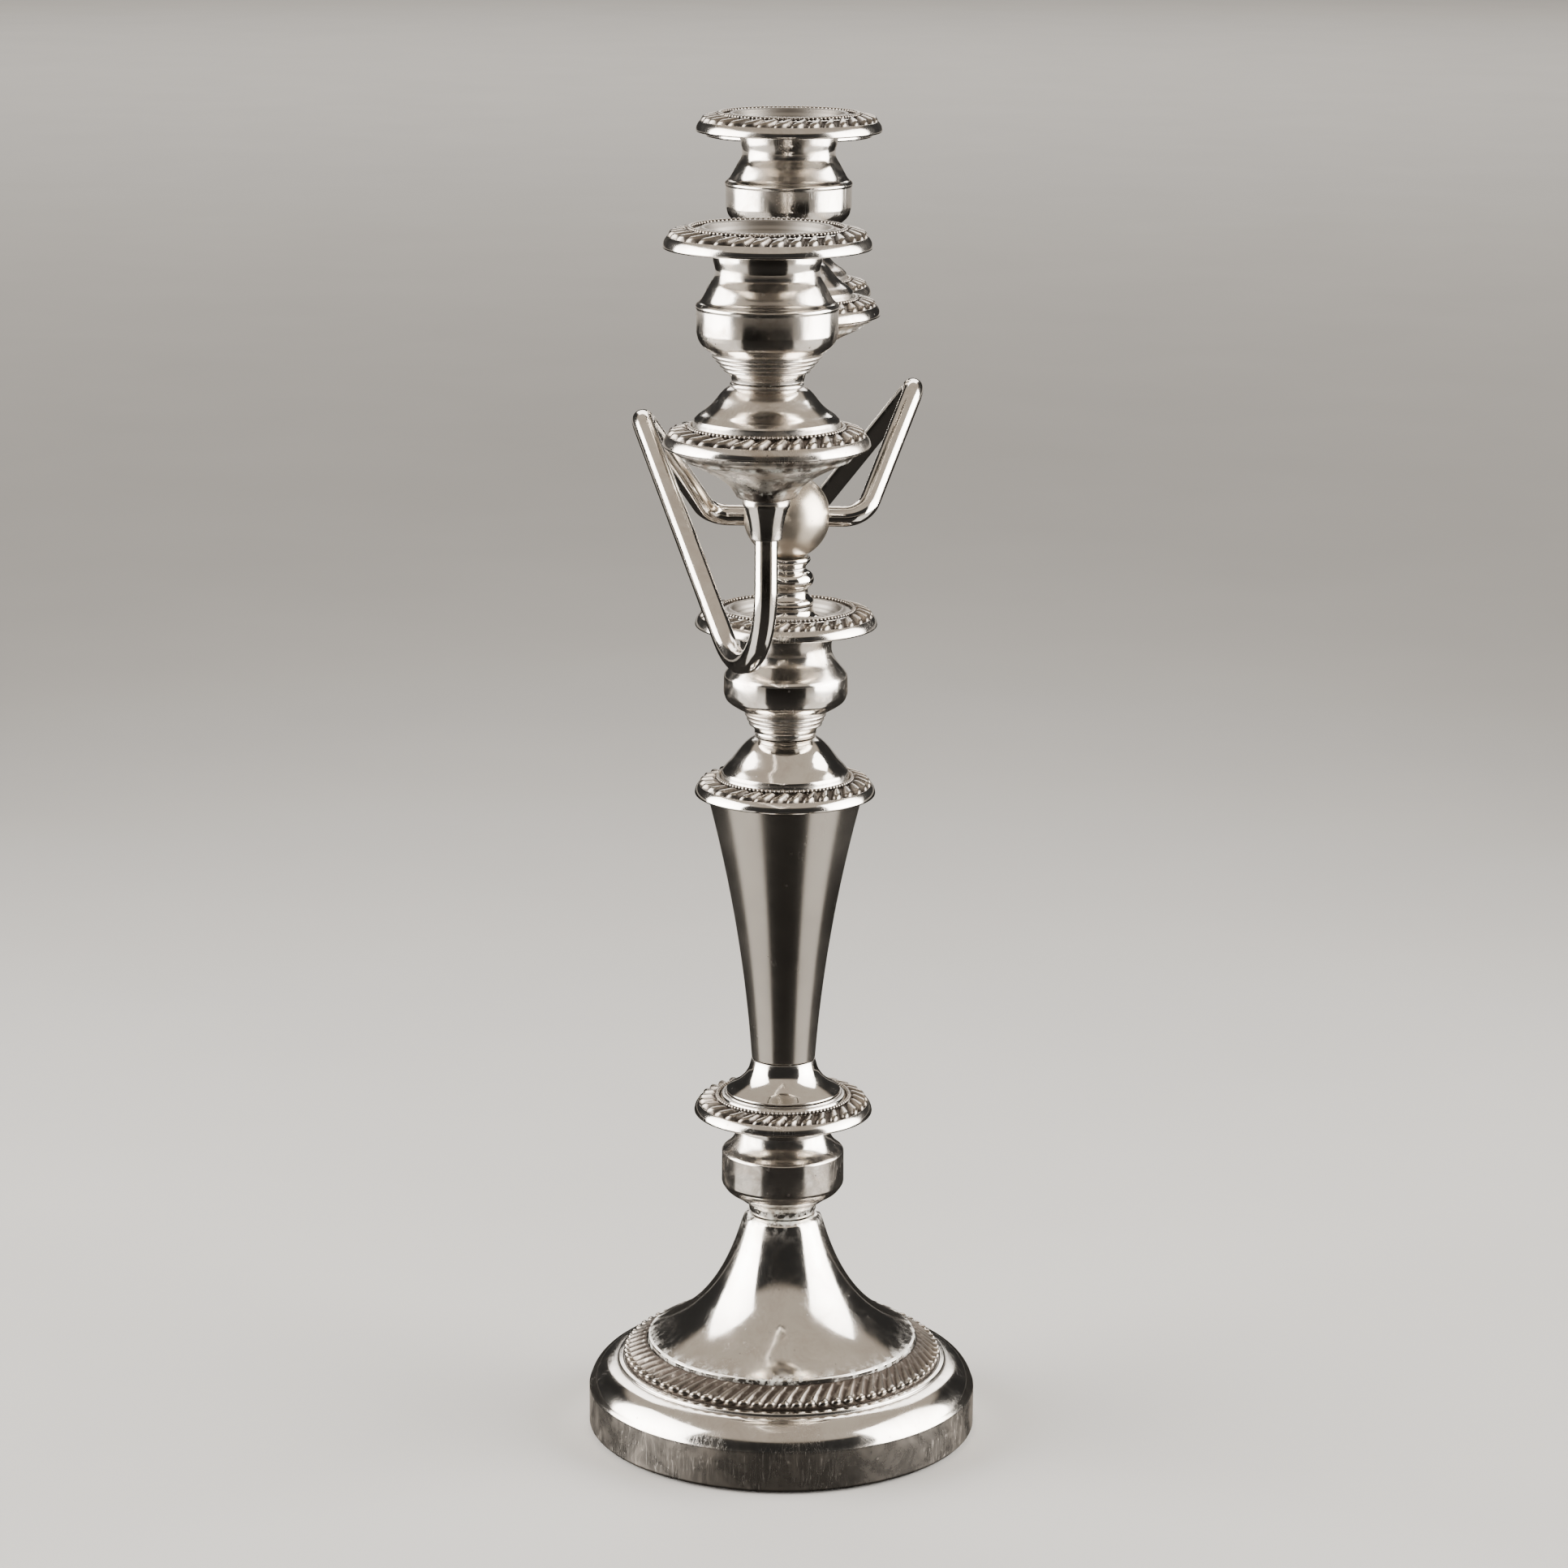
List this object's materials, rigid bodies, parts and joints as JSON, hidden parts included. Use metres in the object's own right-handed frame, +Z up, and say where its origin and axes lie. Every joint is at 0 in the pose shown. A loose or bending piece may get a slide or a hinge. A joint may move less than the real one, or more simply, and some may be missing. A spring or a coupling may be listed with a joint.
{
  "type": "candelabrum",
  "caption": "Table candelabrum: a weighted turned candlestick with a lift-out branch of bent tube arms that hold raised candle cups, each with a drip pan and a loose nozzle.",
  "frame": {"origin": "centre of the felt under the base, at table height", "axes": "+Z up the stick; the two side arms reach out along +X and -X; the +X arm leaves the hub on the -Y side"},
  "size_m": [0.3676, 0.122, 0.4136],
  "materials": {
    "bright_silver": "polished silver plate with light tarnish and fine scratches",
    "satin_silver": "satin silver plate",
    "cast_silver": "cast border in silver plate, dark in its recesses",
    "dull_silver": "silver plate dulled by tarnish",
    "steel": "plain turned steel",
    "plaster": "cast filler",
    "felt": "dark green felt"
  },
  "bodies": {
    "stick": {"base_felt": "felt", "base_weight": "plaster", "base_shell": "bright_silver", "base_border": "cast_silver", "tie_rod": "steel", "tie_rod_washer": "steel", "tie_rod_nut": "steel", "lower_knop": "bright_silver", "lower_collar": "bright_silver", "lower_collar_border": "cast_silver", "stem_foot": "bright_silver", "stem": "satin_silver", "upper_collar": "bright_silver", "upper_collar_border": "cast_silver", "stick_cup": "bright_silver"},
    "stick_nozzle": {"stick_nozzle": "bright_silver", "stick_nozzle_border": "cast_silver"},
    "branch_spigot": {"spigot": "bright_silver"},
    "branch": {"branch_stem": "bright_silver", "hub": "bright_silver", "right_arm": "bright_silver", "left_arm": "bright_silver", "centre_post": "bright_silver", "centre_ferrule": "bright_silver", "centre_pan_under": "dull_silver", "centre_drip_pan": "bright_silver", "centre_pan_border": "cast_silver", "centre_candle_cup": "bright_silver", "centre_cup_screw": "steel", "right_ferrule": "bright_silver", "right_pan_under": "dull_silver", "right_drip_pan": "bright_silver", "right_pan_border": "cast_silver", "right_candle_cup": "bright_silver", "right_cup_screw": "steel", "left_ferrule": "bright_silver", "left_pan_under": "dull_silver", "left_drip_pan": "bright_silver", "left_pan_border": "cast_silver", "left_candle_cup": "bright_silver", "left_cup_screw": "steel"},
    "centre_nozzle": {"centre_nozzle": "bright_silver", "centre_nozzle_border": "cast_silver"},
    "right_nozzle": {"right_nozzle": "bright_silver", "right_nozzle_border": "cast_silver"},
    "left_nozzle": {"left_nozzle": "bright_silver", "left_nozzle_border": "cast_silver"}
  },
  "joints": [
    {"name": "stick_nozzle_lift", "type": "slide", "parent": "stick", "child": "stick_nozzle", "axis": [0, 0, 1], "range_m": [0, 0.022]},
    {"name": "branch_lift", "type": "slide", "parent": "stick_nozzle", "child": "branch_spigot", "axis": [0, 0, 1], "range_m": [0, 0.03]},
    {"name": "branch_turn", "type": "hinge", "parent": "branch_spigot", "child": "branch", "pos_m": [0, 0, 0.265], "axis": [0, 0, 1], "continuous": true},
    {"name": "centre_nozzle_lift", "type": "slide", "parent": "branch", "child": "centre_nozzle", "axis": [0, 0, 1], "range_m": [0, 0.022]},
    {"name": "right_nozzle_lift", "type": "slide", "parent": "branch", "child": "right_nozzle", "axis": [0, 0, 1], "range_m": [0, 0.022]},
    {"name": "left_nozzle_lift", "type": "slide", "parent": "branch", "child": "left_nozzle", "axis": [0, 0, 1], "range_m": [0, 0.022]}
  ]
}
